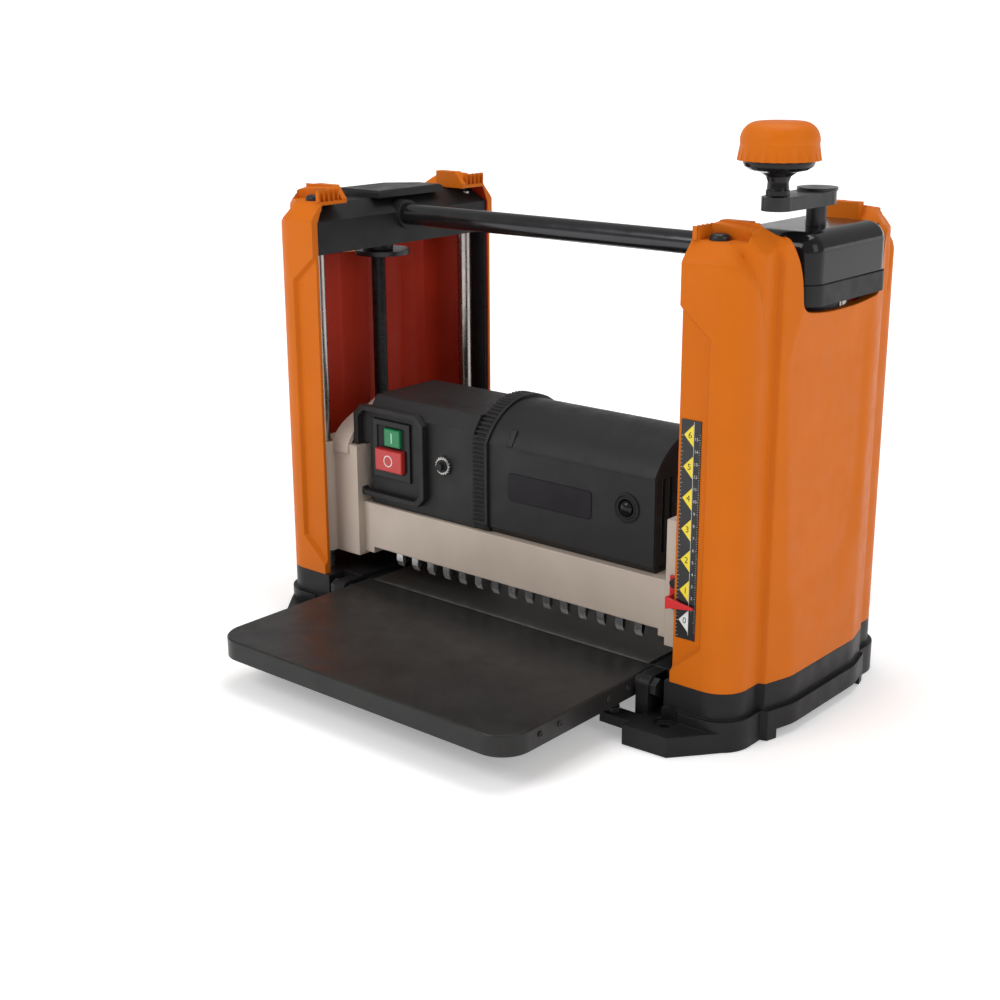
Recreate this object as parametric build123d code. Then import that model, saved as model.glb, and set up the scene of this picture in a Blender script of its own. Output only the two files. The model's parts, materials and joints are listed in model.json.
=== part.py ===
from build123d import *
import os
from math import cos, radians, sin

# Thickness planer. Millimetres, +Z up, +X to the machine's right, stock feeds along +Y.
# The origin is on the ground under the middle of the bed.

# ---- driving dimensions -------------------------------------------------------------------------

# bed and extension tables
BED_TOP = 46.0
BED_BOTTOM = 16.0
BED_HALF_WIDTH = 172.0
WEAR_HALF_LENGTH = 98.0
WEAR_THICK = 1.2
TABLE_HALF_WIDTH = 168.0
TABLE_NEAR = 99.5
TABLE_FAR = 290.0
TABLE_BOTTOM = 28.0
TABLE_CORNER_R = 26.0
HINGE_Y = 121.7
HINGE_Z = 39.0
HINGE_PIN_R = 4.0

# base castings and covers share one plan outline
BASE_TOP = 49.0
BAND_TOP = 26.0
BAND_GROW = 4.0
WALL = 6.0
SIDE_X = 258.0
RIB_X = 263.5
BULGE_X = 271.0
FRONT_Y = 125.0
COVER_INNER_X = 201.0
COVER_TOP = 417.0
COVER_WALL = 3.0
FOOT_TOP = 17.0
FOOT_HOLE = (204.0, 134.0)
FOOT_HOLE_R = 4.5

# guide columns, lead screws, top brackets, crossbar
COLUMN_X, COLUMN_Y = 220.0, 103.0
COLUMN_R = 7.0
COLUMN_BOTTOM, COLUMN_TOP = 6.0, 396.0
SCREW_X = 242.0
SCREW_R = 7.25
SCREW_BOTTOM = 6.0
JOURNAL_R = 5.0
BRACKET_BOTTOM, BRACKET_TOP = 356.0, 400.0
BAR_Z = 383.5
BAR_R = 10.0

# carriage
DECK_TOP = 120.0
DECK_THICK = 7.0
CARRIAGE_Y = 92.0
BLOCK_FRONT = 100.0
BLOCK_BOTTOM, BLOCK_TOP = 67.0, 176.0
BLOCK_IN_X, BLOCK_OUT_X = 178.0, 232.0
BOSS_R = 12.0
LUG_BOTTOM, LUG_TOP = 100.0, 125.0
CUTTER_R = 24.0
CUTTER_Z = 84.5
CUTTER_HALF = 160.0
ROLLER_R = 18.0
ROLLER_Y, ROLLER_Z = 50.0, 77.5
ROLLER_HALF = 158.0

# motor and switch box
MOTOR_Y, MOTOR_Z = -33.0, 175.0
MOTOR_LEFT, MOTOR_RIGHT = -23.0, 157.0
MOTOR_FRONT, MOTOR_BACK = -88.0, 22.0
MOTOR_SHOULDER, MOTOR_CREST = 203.0, 234.5
BAND_LEFT = -40.0
BOX_LEFT, BOX_TOP = -171.0, 224.0
SHELL = 3.0
PULLEY_X = -190.0
PULLEY_WIDTH = 12.0
MOTOR_PULLEY_R = 9.0
CUTTER_PULLEY_R = 18.0
BELT_THICK = 3.0
HUMP_R = 35.0

# gear cover on the right-hand screw
DOME_X, DOME_Y = 274.0, 5.0
DOME_HALF = 61.0
DOME_CORNER_R = 15.0
DOME_ROUND = 15.0
NOTCH_SHIFT = 9.0    # the notch reaches this much further to the rear than to the front

# crank and knob
CRANK_R = 60.0
ARM_BOTTOM, ARM_TOP = 423.5, 434.0
KNOB_Y = -CRANK_R
KNOB_FLUTES = 24
KNOB_CAP_BOTTOM, KNOB_TOP = 461.0, 490.0

# switches and small trim
START_BUTTON = (-149.0, -129.0, 180.0, 197.0)
STOP_BUTTON = (-159.0, -125.0, 156.0, 177.0)
BREAKER_X, BREAKER_Z = -76.0, 173.0
BRUSH_X, BRUSH_Z = 129.0, 173.0
SCALE_X, SCALE_WIDTH = 203.5, 18.0
SCALE_BOTTOM, SCALE_TOP = 88.0, 268.0
POINTER_X, POINTER_LOW, POINTER_HIGH = 189.5, 107.0, 125.0
PAWL_PITCH, PAWL_COUNT = 20.0, 15
PAWL_Y, PAWL_Z, PAWL_TIP = -81.5, 90.0, 60.0

SEATED = (Align.CENTER, Align.CENTER, Align.MIN)
FIT = 0.05    # radial running clearance of shafts and bushes
GAP = 0.4     # clearance between curved moving neighbours


# ---- building blocks ----------------------------------------------------------------------------

def block(x0, x1, y0, y1, z0, z1):
    size = (x1 - x0, y1 - y0, z1 - z0)
    centre = ((x0 + x1) / 2, (y0 + y1) / 2, (z0 + z1) / 2)
    return Pos(*centre) * Box(*size)


def rod_z(x, y, z0, z1, r):
    return Pos(x, y, (z0 + z1) / 2) * Cylinder(r, z1 - z0)


def rod_x(x0, x1, y, z, r):
    return Pos((x0 + x1) / 2, y, z) * Rot(0, 90, 0) * Cylinder(r, x1 - x0)


def rod_y(x, y0, y1, z, r):
    return Pos(x, (y0 + y1) / 2, z) * Rot(90, 0, 0) * Cylinder(r, y1 - y0)


def tube_z(x, y, z0, z1, r, bore):
    return rod_z(x, y, z0, z1, r) - rod_z(x, y, z0 - 1, z1 + 1, bore)


def tube_x(x0, x1, y, z, r, bore):
    return rod_x(x0, x1, y, z, r) - rod_x(x0 - 1, x1 + 1, y, z, bore)


def plan(points, z0, z1):
    """A prism over an outline of (x, y) points."""
    face = make_face(Polyline(*points, close=True))
    return Pos(0, 0, z0) * extrude(face, z1 - z0)


def section(face, x0, x1):
    """A prism along X over a face drawn with (y, z) as its plane's axes."""
    plane = Plane(origin=(x0, 0, 0), x_dir=(0, 1, 0), z_dir=(1, 0, 0))
    return extrude(plane * face, x1 - x0)


def front_slab(points, depth, y=-FRONT_Y - 1):
    """A prism over an outline of (x, z) points, from the plane at y towards the rear."""
    plane = Plane(origin=(0, y, 0), x_dir=(1, 0, 0), z_dir=(0, -1, 0))
    return extrude(plane * make_face(Polyline(*points, close=True)), -depth)


def hexagon(r, x, y, z0, z1):
    return Pos(x, y, z0) * extrude(RegularPolygon(r, 6), z1 - z0)


def mirror_x(shape):
    return mirror(shape, about=Plane.YZ)


def mirror_y(shape):
    return mirror(shape, about=Plane.XZ)


def both_sides(shape):
    return shape + mirror_x(shape)


def front_and_rear(shape):
    return shape + mirror_y(shape)


def corners(x, y):
    return [(sx * x, sy * y) for sx in (-1, 1) for sy in (-1, 1)]


# ---- base ---------------------------------------------------------------------------------------

def side_outline(inner_x, grow=0.0, corner_r=26.0):
    """Plan outline that base, band and cover share on the machine's right side."""
    front = FRONT_Y + grow
    side, rib, bulge = SIDE_X + grow, RIB_X + grow, BULGE_X + grow
    half = [(bulge, 52), (rib, 80), (side, 82), (side, front), (inner_x, front)]
    points = [(x, -y) for x, y in reversed(half)] + half
    face = make_face(Polyline(*points, close=True))
    soft = [v for v in face.vertices() if abs(v.X - side) < 0.1 and abs(v.Y) > 100]
    face = fillet(soft, max(corner_r + grow, 3.0))
    bends = [v for v in face.vertices() if abs(v.X - bulge) < 0.1]
    return fillet(bends, 60)


def side_prism(z0, z1, inner_x, grow=0.0):
    return Pos(0, 0, z0) * extrude(side_outline(inner_x, grow), z1 - z0)


def foot_lug():
    """Front foot with its bench-bolt hole and the tab that carries a table stop screw."""
    outline = [(180, -100), (180, -160), (222, -158), (241, -135), (259, -112), (259, -100)]
    lug = plan(outline, 0, FOOT_TOP)
    lug += block(150, 181, -150, -134, 8, FOOT_TOP)
    return lug


def hinge_ear():
    ear = block(172, 184, -HINGE_Y - 9, -100, 12, HINGE_Z)
    ear += rod_x(172, 184, -HINGE_Y, HINGE_Z, 9)
    ear += block(172, 184, -HINGE_Y, -100, 20, HINGE_Z + 9)
    return ear


def right_base():
    body = side_prism(BAND_TOP, BASE_TOP, BED_HALF_WIDTH)
    body += side_prism(0, BAND_TOP, BED_HALF_WIDTH, BAND_GROW)
    body -= side_prism(-1, BASE_TOP - WALL, BED_HALF_WIDTH + WALL, -WALL)
    # the inner corners stand back to leave room for the hinges
    body -= front_and_rear(block(160, 196, -140, -104, -1, BASE_TOP + 1))
    corner_wall = block(172, 202, -104, -98, 0, BASE_TOP) + block(196, 202, -122, -98, 0, BASE_TOP)
    body += front_and_rear(corner_wall)
    # stiffening ribs
    for y in (-75, -27, 27, 75):
        body += block(173, 262, y - 2, y + 2, 16, BASE_TOP - 1)
    body += front_and_rear(block(220, 224, -110, -27, 10, BASE_TOP - 1))
    body += front_and_rear(foot_lug() + hinge_ear())
    for cy in (-COLUMN_Y, COLUMN_Y):
        body += rod_z(COLUMN_X, cy, 0, BASE_TOP, 13)
    body += rod_z(SCREW_X, 0, 24, BASE_TOP, 17)
    for cy in (-COLUMN_Y, COLUMN_Y):
        body -= rod_z(COLUMN_X, cy, COLUMN_BOTTOM, BASE_TOP + 1, COLUMN_R)
    body -= rod_z(SCREW_X, 0, 20, BASE_TOP + 1, 11)
    hole_x, hole_y = FOOT_HOLE
    for sy in (-1, 1):
        body -= rod_z(hole_x, sy * hole_y, -1, FOOT_TOP + 1, FOOT_HOLE_R)
        body -= rod_z(hole_x, sy * hole_y, FOOT_TOP - 3, FOOT_TOP + 12, 10)
        body -= rod_x(160, 195, sy * HINGE_Y, HINGE_Z, HINGE_PIN_R)
        body -= rod_z(158, sy * 142, 0, 30, 3)
    # arched skirt between the front and rear ribs, and the way in for the chain
    body -= block(250, 290, -70, 70, -1, 8)
    body -= block(160, 190, -40, 40, -1, 16)
    return body


def bed_casting():
    bed = block(-BED_HALF_WIDTH, BED_HALF_WIDTH, -96.8, 96.8, BED_BOTTOM, BED_TOP - WEAR_THICK)
    for column in range(6):
        for row in range(4):
            x0, y0 = -162 + 55 * column, -90 + 46 * row
            bed -= block(x0, x0 + 49, y0, y0 + 42, BED_BOTTOM - 1, BED_TOP - 10)
    return bed


def bed_wear_plate():
    top = BED_TOP - WEAR_THICK
    plate = block(-162, 162, -WEAR_HALF_LENGTH, WEAR_HALF_LENGTH, top, BED_TOP)
    lip = block(-162, 162, -WEAR_HALF_LENGTH, -WEAR_HALF_LENGTH + WEAR_THICK, BED_TOP - 8, top)
    return plate + front_and_rear(lip)


def infeed_table():
    """Extension table in front of the bed, ribbed underneath, with hinge bosses at its near corners."""
    w, near, far = TABLE_HALF_WIDTH, -TABLE_NEAR, -TABLE_FAR
    slab = block(-w, w, far, near, TABLE_BOTTOM, BED_TOP)
    outer = [e for e in slab.edges().filter_by(Axis.Z) if e.center().Y < far + 1]
    slab = fillet(outer, TABLE_CORNER_R)
    rim = slab.faces().sort_by(Axis.Z)[-1].edges()
    slab = chamfer([e for e in rim if e.center().Y < near - 1], 1.2)
    for column in range(5):
        for row in range(3):
            x0, y0 = -134 + 54.5 * column, far + 14 + 54 * row
            slab -= block(x0, x0 + 50, y0, y0 + 50, TABLE_BOTTOM - 1, BED_TOP - 5)
    slab -= rod_x(-w - 1, -w + 22, -HINGE_Y, HINGE_Z, HINGE_PIN_R + FIT)
    slab -= rod_x(w - 22, w + 1, -HINGE_Y, HINGE_Z, HINGE_PIN_R + FIT)
    return slab


def hinge_bolts():
    """Shouldered hex-head bolts that the tables turn on."""
    pin = rod_x(148, 184, -HINGE_Y, HINGE_Z, HINGE_PIN_R)
    head = Pos(184, -HINGE_Y, HINGE_Z) * Rot(0, 90, 0) * extrude(RegularPolygon(8, 6), 6)
    nut = Pos(169, -HINGE_Y, HINGE_Z) * Rot(0, 90, 0) * Cylinder(6.5, 2)
    return both_sides(front_and_rear(pin + head + nut))


def table_bolts():
    """Hinge bolts, and the hex screws with lock nuts that each folded-down table rests on."""
    screw = rod_z(158, -142, 9, TABLE_BOTTOM - 5, 3)
    screw += hexagon(6, 158, -142, TABLE_BOTTOM - 5, TABLE_BOTTOM)
    nut = hexagon(6, 158, -142, FOOT_TOP, FOOT_TOP + 4)
    return hinge_bolts() + both_sides(front_and_rear(screw + nut))


# ---- towers -------------------------------------------------------------------------------------

def guide_columns():
    """Four ground steel columns, each tapped at the top for a cover bolt."""
    posts = Part()
    for x, y in corners(COLUMN_X, COLUMN_Y):
        posts += rod_z(x, y, COLUMN_BOTTOM, COLUMN_TOP, COLUMN_R)
        posts -= rod_z(x, y, COLUMN_TOP - 20, COLUMN_TOP + 1, 3)
    return posts


def bracket_plan(z0, z1):
    half = [(259, 34), (240, 60), (234, 118), (203, 118)]
    return plan([(x, -y) for x, y in reversed(half)] + half, z0, z1)


def bracket_end_slope():
    """Wedge off the beam's front top edge, where the cover's wing slopes back."""
    wedge = make_face(Polyline((-109, 401), (-118.6, 384), (-125, 384), (-125, 401), close=True))
    return section(wedge, 195, 265)


def top_bracket():
    """Beam across the tops of one side's two columns, with the crossbar socket in its middle."""
    beam = bracket_plan(BRACKET_BOTTOM, BRACKET_TOP)
    inner_edge = beam.faces().sort_by(Axis.Z)[-1].edges().filter_by(Axis.Y).sort_by(Axis.X)[0]
    beam = chamfer(inner_edge, 14, 18)
    beam -= front_and_rear(bracket_end_slope())
    beam += rod_x(199, 240, 0, BAR_Z, BAR_R + 3.5)
    for y in (-COLUMN_Y, COLUMN_Y):
        beam -= rod_z(COLUMN_X, y, BRACKET_BOTTOM - 1, BRACKET_TOP + 1, COLUMN_R)
    beam -= rod_x(190, 228, 0, BAR_Z, BAR_R)
    beam -= rod_z(SCREW_X, 0, BRACKET_BOTTOM - 1, BRACKET_TOP + 10, 11)
    # the underside is cored between the screw boss and the column bosses
    for y0 in (-86, 20):
        beam -= block(208, 230, y0, y0 + 66, BRACKET_BOTTOM - 1, BRACKET_TOP - 14)
    return beam


def left_top_bracket():
    """Same beam on the left, closed by a raised cap pad over the screw."""
    beam = mirror_x(top_bracket())
    outline = [(-209, -30), (-266, -30), (-266, 34), (-240, 60), (-209, 60)]
    pad = plan(outline, BRACKET_TOP, BRACKET_TOP + 7)
    return beam + chamfer(pad.faces().sort_by(Axis.Z)[-1].edges(), 2)


def screw_bearings():
    """Flanged bearings at the top and plain bushes at the bottom of both lead screws."""
    low = tube_z(SCREW_X, 0, 24, BASE_TOP, 11, JOURNAL_R + FIT)
    high = rod_z(SCREW_X, 0, 344, 376, 11) + rod_z(SCREW_X, 0, 344, BRACKET_BOTTOM, 15)
    high += rod_z(SCREW_X - 6, 0, 342.5, 347, 27)
    high -= rod_z(SCREW_X, 0, 340, 380, JOURNAL_R + FIT)
    return both_sides(low + high)


def crossbar():
    return rod_x(-228, 228, 0, BAR_Z, BAR_R)


def notch_cutter():
    """The U-shaped notch that the dome stands in, as seen along X; its flanks flare towards the top."""
    half = [(0, 440), (104, 440), (97, 424), (84, 413), (77.6, 409), (72.5, 400), (67, 391)]
    half += [(63, 380), (60.6, 367), (59.6, 356), (58, 351), (54, 348.5), (44, 346.5), (20, 344), (0, 343.5)]
    outline = half + [(-y, z) for y, z in reversed(half[1:-1])]
    front_part = section(make_face(Polyline(*outline, close=True)), 236, 290)
    return front_part + Pos(0, NOTCH_SHIFT, 0) * front_part


def wing_pocket():
    """Bolt recess in the top of the front wing and the ribbed hollow open to the inside."""
    outline = [(207, -117), (234, -117), (240, -106), (234, -92), (212, -92)]
    recess = plan(outline, COVER_TOP - 13, COVER_TOP + 1)
    return recess + rod_z(COLUMN_X, -COLUMN_Y, 395, COVER_TOP, 5)


def right_cover():
    """Tall hollow cover: a C-shaped shell with a capped wing over each column."""
    shell = side_prism(BASE_TOP, COVER_TOP, COVER_INNER_X)
    shell -= side_prism(BASE_TOP - 1, COVER_TOP - 16, COVER_INNER_X - 30, -COVER_WALL)
    # only the two wings keep a top cap
    shell -= block(190, 290, -80, 80, BRACKET_BOTTOM - 10, COVER_TOP + 1) & block(190, 242, -80, 80, 0, 500)
    shell -= notch_cutter()
    shell -= front_slab([(252, 420), (262, 420), (262, 398)], 300)
    shell -= front_slab([(195, 420), (213, 420), (195, 398)], 300)
    shell -= front_and_rear(wing_pocket())
    # recessed strip along each wing's inner edge, with a thicker wall behind it
    shell += front_and_rear(block(COVER_INNER_X, 225, -FRONT_Y + 2.5, -FRONT_Y + 6.5, 60, 350))
    outline = [(190, 66), (202, 66), (222, 86), (222, 322), (199, 346), (190, 346)]
    shell -= front_and_rear(front_slab(outline, 5))
    shell += front_and_rear(block(195, COVER_INNER_X + 1, -FRONT_Y, -FRONT_Y + COVER_WALL, BASE_TOP, 72))
    # webs inside the open end of each wing's cap
    hollow = block(198, 206, -119, -86, COVER_TOP - 13, COVER_TOP - 3)
    shell -= front_and_rear(hollow)
    for n in range(5):
        y = -114.0 + 6.0 * n
        shell += front_and_rear(block(203, 206, y, y + 1.2, COVER_TOP - 13, COVER_TOP - 3))
    return shell


def cover_bolts():
    """Button-head bolts that hold the covers to the column tops."""
    bolts = Part()
    for x, y in corners(COLUMN_X, COLUMN_Y):
        head = rod_z(x, y, COVER_TOP - 13, COVER_TOP - 8, 8)
        head = fillet(head.faces().sort_by(Axis.Z)[-1].edges(), 3.5)
        bolts += head + rod_z(x, y, COLUMN_TOP - 18, COVER_TOP - 13, 3)
    return bolts


def rear_upright():
    """Pressed steel post behind the rear column that stiffens the tower."""
    return block(203, 222, 116, 118.3, BASE_TOP, BRACKET_BOTTOM)


def dome_plan(grow):
    """Plan outline of the gear cover, rounded on its outer corners."""
    y_half = DOME_HALF + grow
    face = Pos((205 + DOME_X + grow) / 2, DOME_Y) * Rectangle(DOME_X + grow - 205, 2 * y_half)
    outer = face.vertices().sort_by(Axis.X)[-2:]
    return fillet(outer, DOME_CORNER_R + grow)


def dome():
    """Glossy gear cover over the right-hand screw's upper end."""
    outer = Pos(0, 0, 368) * extrude(dome_plan(0), 39)
    rim = outer.faces().sort_by(Axis.Z)[-1].edges()
    outer = fillet([e for e in rim if e.center().X > 206], DOME_ROUND)
    inner = Pos(0, 0, 360) * extrude(dome_plan(-3), 44)
    rim = inner.faces().sort_by(Axis.Z)[-1].edges()
    outer -= fillet([e for e in rim if e.center().X > 206], DOME_ROUND - 3)
    # the beam passes through the cover's two ends
    outer -= block(200, 248, -80, 80, 360, BRACKET_TOP)
    return outer - rod_z(SCREW_X, 0, 390, 410, 8.5)


def dome_skirt():
    """Matt band that closes the dome against the cover's notch."""
    band = Pos(0, 0, 352) * extrude(dome_plan(1.5), 16)
    band -= Pos(0, 0, 350) * extrude(dome_plan(0.5), 20)
    return band - block(190, 245, -90, 90, 350, 370)


def depth_scale():
    low, high = SCALE_BOTTOM, SCALE_TOP
    return block(SCALE_X, SCALE_X + SCALE_WIDTH, -FRONT_Y + 3, -FRONT_Y + 4, low, high)


# ---- lead screws, crank and knob ----------------------------------------------------------------

def sprocket(x, y, z0, z1, teeth, r):
    """Chain sprocket with round tooth gaps."""
    wheel = rod_z(x, y, z0, z1, r)
    for n in range(teeth):
        angle = radians(360 * n / teeth)
        wheel -= rod_z(x + r * cos(angle), y + r * sin(angle), z0 - 1, z1 + 1, 2.2)
    return wheel


def lead_screw(sx):
    x = sx * SCREW_X
    screw = rod_z(x, 0, BASE_TOP + 1, 342, SCREW_R)
    screw += rod_z(x, 0, SCREW_BOTTOM, 380, JOURNAL_R)
    return screw + sprocket(x, 0, 10, 14, 14, 15)


def crank_arm():
    """Shaft through the dome, round hub and tapered arm with the boss for the knob."""
    shaft = rod_z(SCREW_X, 0, 381, ARM_BOTTOM, 8)
    hub = rod_z(SCREW_X, 0, ARM_BOTTOM, ARM_TOP, 15)
    end = rod_z(SCREW_X, KNOB_Y, ARM_BOTTOM, ARM_TOP, 12)
    taper = [(-14.8, -2), (-11.8, KNOB_Y - 2), (11.8, KNOB_Y - 2), (14.8, -2)]
    arm = plan([(SCREW_X + x, y) for x, y in taper], ARM_BOTTOM, ARM_TOP)
    cap = rod_z(SCREW_X, 0, ARM_TOP, ARM_TOP + 2.5, 16)
    body = shaft + hub + end + arm + cap
    return body - rod_z(SCREW_X, KNOB_Y, ARM_BOTTOM - 1, ARM_TOP + 1, 5 + FIT)


def knob_stem():
    """Spindle, round foot and flared collar that carry the knob's cap."""
    x, y = SCREW_X, KNOB_Y
    spindle = rod_z(x, y, ARM_BOTTOM + 1, ARM_TOP + 1, 5)
    foot = rod_z(x, y, ARM_TOP + 0.5, ARM_TOP + 5, 9)
    outline = [(0, ARM_TOP + 4), (8.5, ARM_TOP + 4), (8, 445), (9.5, 449), (14, 452), (22, 454), (26, 456.5)]
    outline += [(27, 459), (27, KNOB_CAP_BOTTOM), (0, KNOB_CAP_BOTTOM)]
    face = Plane.XZ * make_face(Polyline(*outline, close=True))
    return spindle + foot + Pos(x, y, 0) * revolve(face, Axis.Z)


def knob_cap():
    """Fluted grip: a domed disc with shallow flutes around its rim."""
    low, high = KNOB_CAP_BOTTOM, KNOB_TOP
    outline = [Line((0, low), (31.5, low)), Line((31.5, low), (29.5, low + 12))]
    outline += [ThreePointArc((29.5, low + 12), (26, high - 5), (17, high - 0.8))]
    outline += [Line((17, high - 0.8), (0, high)), Line((0, high), (0, low))]
    cap = revolve(Plane.XZ * make_face(Curve() + outline), Axis.Z)
    for n in range(KNOB_FLUTES):
        angle = radians(360 * n / KNOB_FLUTES)
        cap -= rod_z(32.8 * cos(angle), 32.8 * sin(angle), low - 1, low + 14, 3)
    return Pos(SCREW_X, KNOB_Y, 0) * cap


# ---- carriage -----------------------------------------------------------------------------------

def end_plate(sx):
    """Side wall of the cutter housing with the cutter's bearing seat and the roller-block slots."""
    x0, x1 = sorted((sx * 166, sx * BLOCK_IN_X))
    plate = block(x0, x1, -CARRIAGE_Y, CARRIAGE_Y, 70, DECK_TOP)
    plate -= rod_x(x0 - 1, x1 + 1, 0, CUTTER_Z, 16)
    for y in (-ROLLER_Y, ROLLER_Y):
        plate -= block(x0 - 1, x1 + 1, y - 12, y + 12, 60, DECK_TOP - DECK_THICK)
    return plate


def guide_block(sx, sy):
    """Corner block with the boss that slides on one column."""
    x0, x1 = sorted((sx * BLOCK_IN_X, sx * BLOCK_OUT_X))
    y0, y1 = sorted((sy * 74, sy * BLOCK_FRONT))
    body = block(x0, x1, y0, y1, BLOCK_BOTTOM, BLOCK_TOP)
    return body + rod_z(sx * COLUMN_X, sy * COLUMN_Y, BLOCK_BOTTOM, BLOCK_TOP, BOSS_R)


def tie_plate(sx):
    """Outer wall that joins the two blocks of one side and carries the lead-screw lug."""
    x0, x1 = sorted((sx * 203, sx * 209))
    plate = block(x0, x1, -76, 76, BLOCK_BOTTOM, 150)
    lug_in, lug_out = sorted((sx * 203, sx * 257))
    lug = block(lug_in, lug_out, -16, 16, LUG_BOTTOM, LUG_TOP)
    return plate + lug - rod_z(sx * SCREW_X, 0, LUG_BOTTOM - 1, LUG_TOP + 1, 10.5)


def belt_profile(grow):
    """Outline of the belt arch, seen along X: a round hump over a straight-sided lower part."""
    hump = Pos(MOTOR_Y, MOTOR_Z) * Circle(HUMP_R + grow)
    low = BLOCK_BOTTOM + 5 * grow
    return hump + Pos(0, (low + MOTOR_Z) / 2) * Rectangle(152 + 2 * grow, MOTOR_Z - low)


def belt_housing():
    """Hollow arch on the left-hand end that the drive belt runs in, open at the bottom."""
    wall = section(belt_profile(0), -209, -BLOCK_IN_X)
    wall -= section(belt_profile(-4), -203, -BLOCK_IN_X + 1)
    wall -= rod_x(-230, -170, MOTOR_Y, MOTOR_Z, 9)
    return wall + tube_x(-203, -200, MOTOR_Y, MOTOR_Z, 12, 9)


def carriage_casting():
    deck = block(-BLOCK_IN_X, BLOCK_IN_X, -CARRIAGE_Y, CARRIAGE_Y, DECK_TOP - DECK_THICK, DECK_TOP)
    deck -= block(-150, 150, 34, 80, DECK_TOP - DECK_THICK - 1, DECK_TOP + 1)
    wall = block(-BLOCK_IN_X, BLOCK_IN_X, -CARRIAGE_Y, -CARRIAGE_Y + 6, 76, DECK_TOP)
    body = deck + front_and_rear(wall)
    body += belt_housing()
    for sx in (-1, 1):
        body += end_plate(sx) + tie_plate(sx)
        for sy in (-1, 1):
            body += guide_block(sx, sy)
    for x, y in corners(COLUMN_X, COLUMN_Y):
        body -= rod_z(x, y, BLOCK_BOTTOM - 1, BLOCK_TOP + 1, 9)
    # threaded holes of the two pointer screws
    for z in (POINTER_LOW, POINTER_HIGH):
        body -= rod_y(POINTER_X, -BLOCK_FRONT - 1, -BLOCK_FRONT + 8, z, 2)
    return body


def column_bushes():
    """Bronze bushes pressed into the top and bottom of each guide boss."""
    rings = Part()
    for x, y in corners(COLUMN_X, COLUMN_Y):
        for z0 in (BLOCK_BOTTOM, BLOCK_TOP - 24):
            rings += tube_z(x, y, z0, z0 + 24, 9, COLUMN_R + FIT)
    return rings


def screw_nuts():
    nut = tube_z(SCREW_X, 0, LUG_BOTTOM - 3, LUG_TOP, 10.5, SCREW_R + 0.1)
    flange = tube_z(SCREW_X, 0, LUG_BOTTOM - 7, LUG_BOTTOM, 14.5, SCREW_R + 0.1)
    return both_sides(nut + flange)


def dust_hood():
    """Chip hood over the deck's slot, with a round hose port facing the rear."""
    outer = block(-152, 152, 32, 91, DECK_TOP, DECK_TOP + 30)
    outer += block(60, 140, 32, 91, DECK_TOP, DECK_TOP + 64)
    outer -= block(-149, 149, 35, 88, DECK_TOP - 1, DECK_TOP + 27)
    outer -= block(63, 137, 35, 88, DECK_TOP, DECK_TOP + 61)
    outer += rod_y(100, 88, 110, DECK_TOP + 32, 29)
    return outer - rod_y(100, 86, 112, DECK_TOP + 32, 26.5)


# ---- cutter block, feed rollers and drive ------------------------------------------------------

def cutter_block():
    """Steel drum with two knife slots, stepped shaft ends and the driven pulley on the left."""
    drum = rod_x(-CUTTER_HALF, CUTTER_HALF, 0, CUTTER_Z, CUTTER_R - 1.5)
    for s in (-1, 1):
        slot = Rot(90 + 90 * s, 0, 0) * Box(2 * CUTTER_HALF + 2, 12, 30, align=SEATED)
        drum -= Pos(0, 0, CUTTER_Z) * slot - rod_x(-200, 200, 0, CUTTER_Z, 12)
    drum += rod_x(-182, 184, 0, CUTTER_Z, 8.5)
    return drum + rod_x(PULLEY_X - 8, -182, 0, CUTTER_Z, 6)


def knife_set(y0, y1, r0, r1):
    parts = []
    for s in (-1, 1):
        bar = block(-CUTTER_HALF, CUTTER_HALF, y0, y1, r0, r1)
        parts.append(Pos(0, 0, CUTTER_Z) * Rot(90 + 90 * s, 0, 0) * bar)
    return parts[0] + parts[1]


def knives():
    return knife_set(3.0, 6.0, 12.5, CUTTER_R)


def gib_bars():
    return knife_set(-6.0, 3.0, 12.5, CUTTER_R - 3)


def pulley(x, y, z, r, bore):
    wheel = rod_x(x - PULLEY_WIDTH / 2, x + PULLEY_WIDTH / 2, y, z, r)
    wheel += rod_x(x - PULLEY_WIDTH / 2 - 1, x - PULLEY_WIDTH / 2, y, z, r + 2)
    wheel += rod_x(x + PULLEY_WIDTH / 2, x + PULLEY_WIDTH / 2 + 1, y, z, r + 2)
    return wheel - rod_x(x - 20, x + 20, y, z, bore)


def cutter_pulley():
    return pulley(PULLEY_X, 0, CUTTER_Z, CUTTER_PULLEY_R, 6)


def belt_face(grow):
    """Outline of an open belt around both pulleys, grown outward."""
    small = Pos(MOTOR_Y, MOTOR_Z) * Circle(MOTOR_PULLEY_R + grow)
    big = Pos(0, CUTTER_Z) * Circle(CUTTER_PULLEY_R + grow)
    return make_hull(small.edges() + big.edges())


def drive_belt():
    loop = belt_face(GAP + BELT_THICK) - belt_face(GAP)
    return section(loop, PULLEY_X - PULLEY_WIDTH / 2 + 0.5, PULLEY_X + PULLEY_WIDTH / 2 - 0.5)


def ball_bearings():
    """Bearings of the cutter block and of the armature, both ends."""
    cutter = both_sides(tube_x(168, 178, 0, CUTTER_Z, 16, 8.5 + FIT))
    right = tube_x(140, 152, MOTOR_Y, MOTOR_Z, 14, 6 + FIT)
    left = tube_x(-209, -200, MOTOR_Y, MOTOR_Z, 9, 6 + FIT)
    return cutter + right + left


def feed_roller(y):
    """Rubber-faced feed roller on a steel shaft, with its chain sprocket on the right."""
    body = rod_x(-ROLLER_HALF, ROLLER_HALF, y, ROLLER_Z, ROLLER_R - 4)
    body += rod_x(-150, 150, y, ROLLER_Z, ROLLER_R)
    body += rod_x(-178, 190, y, ROLLER_Z, 6)
    wheel = Rot(0, 90, 0) * sprocket(0, 0, -6, -2, 16, 15)
    return body + Pos(194, y, ROLLER_Z) * wheel


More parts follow.
